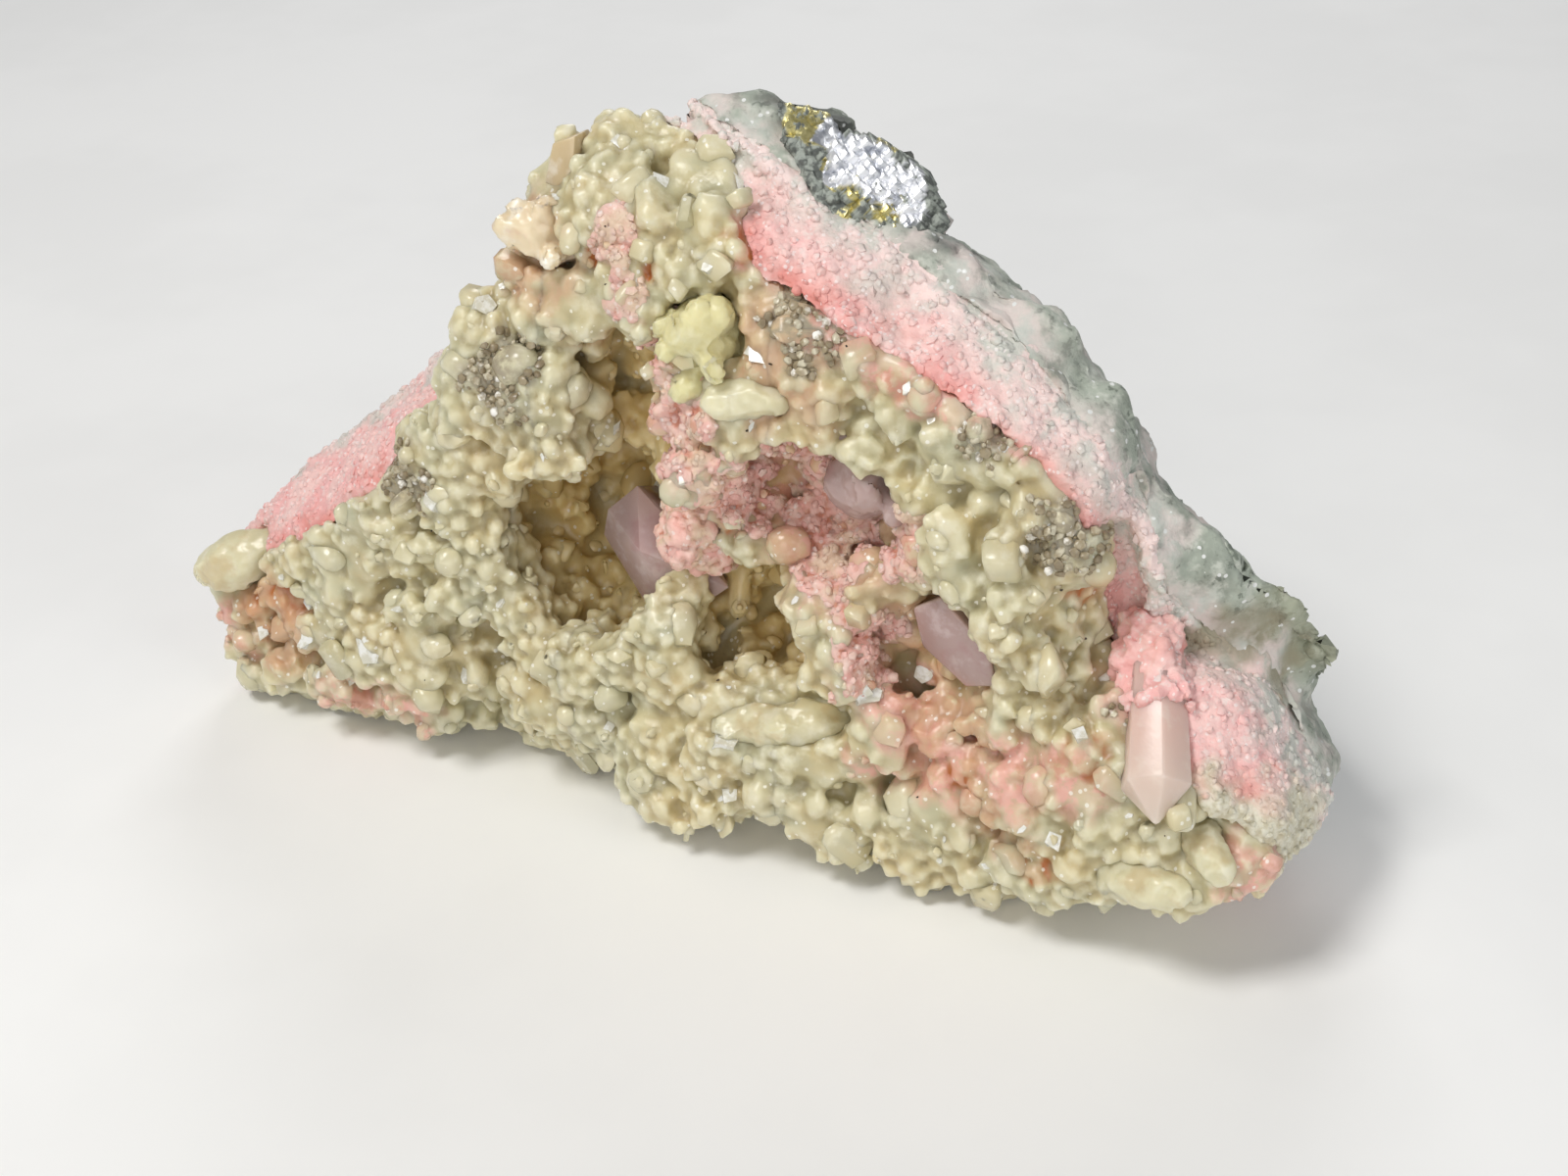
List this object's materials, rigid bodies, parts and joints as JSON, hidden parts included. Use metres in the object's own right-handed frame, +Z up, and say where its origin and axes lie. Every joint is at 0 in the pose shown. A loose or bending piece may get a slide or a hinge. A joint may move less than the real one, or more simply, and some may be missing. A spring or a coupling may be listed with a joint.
{
  "type": "rhodochrosite specimen",
  "caption": "Broken lump of a mineral vein: grey wall rock, a pink rhodochrosite band and a crystal-lined cavity, lying on its flat broken underside.",
  "frame": {"origin": "below the middle of the stone, on the surface that it lies on", "axes": "+X along the length of the stone, left to right as seen from its crystal side; the crystal side faces -Y; +Z up"},
  "size_m": [0.1, 0.043, 0.06],
  "materials": {
    "rock": "rough broken grey-green vein wall rock with dark flecks",
    "rhodochrosite": "sugary rose-pink carbonate, paler towards the rock",
    "druse": "cream to olive translucent crystal crust with small bright faces",
    "calcite": "waxy translucent cream to yellow-green calcite",
    "lavender": "translucent lavender-grey crystal",
    "quartz": "clear to milky pale pink quartz with bright faces",
    "galena": "bright silver cleavage steps",
    "chalcopyrite": "brassy yellow metallic grains"
  },
  "bodies": {
    "root": {"wall_rock": "rock", "rhodochrosite_layer": "rhodochrosite", "calcite_druse": "druse", "galena": "galena", "chalcopyrite": "chalcopyrite", "quartz_point": "quartz", "left_end_crystal": "calcite", "crest_knob_crystal": "calcite", "crest_blade_crystal": "calcite", "yellow_calcite": "calcite", "ceiling_crystal": "calcite", "rhodochrosite_ball": "rhodochrosite", "lavender_block": "lavender", "lavender_upper": "lavender", "lavender_slab": "lavender", "lip_crystal": "calcite", "foot_crystal_left": "calcite", "foot_crystal_right": "calcite"}
  },
  "joints": []
}
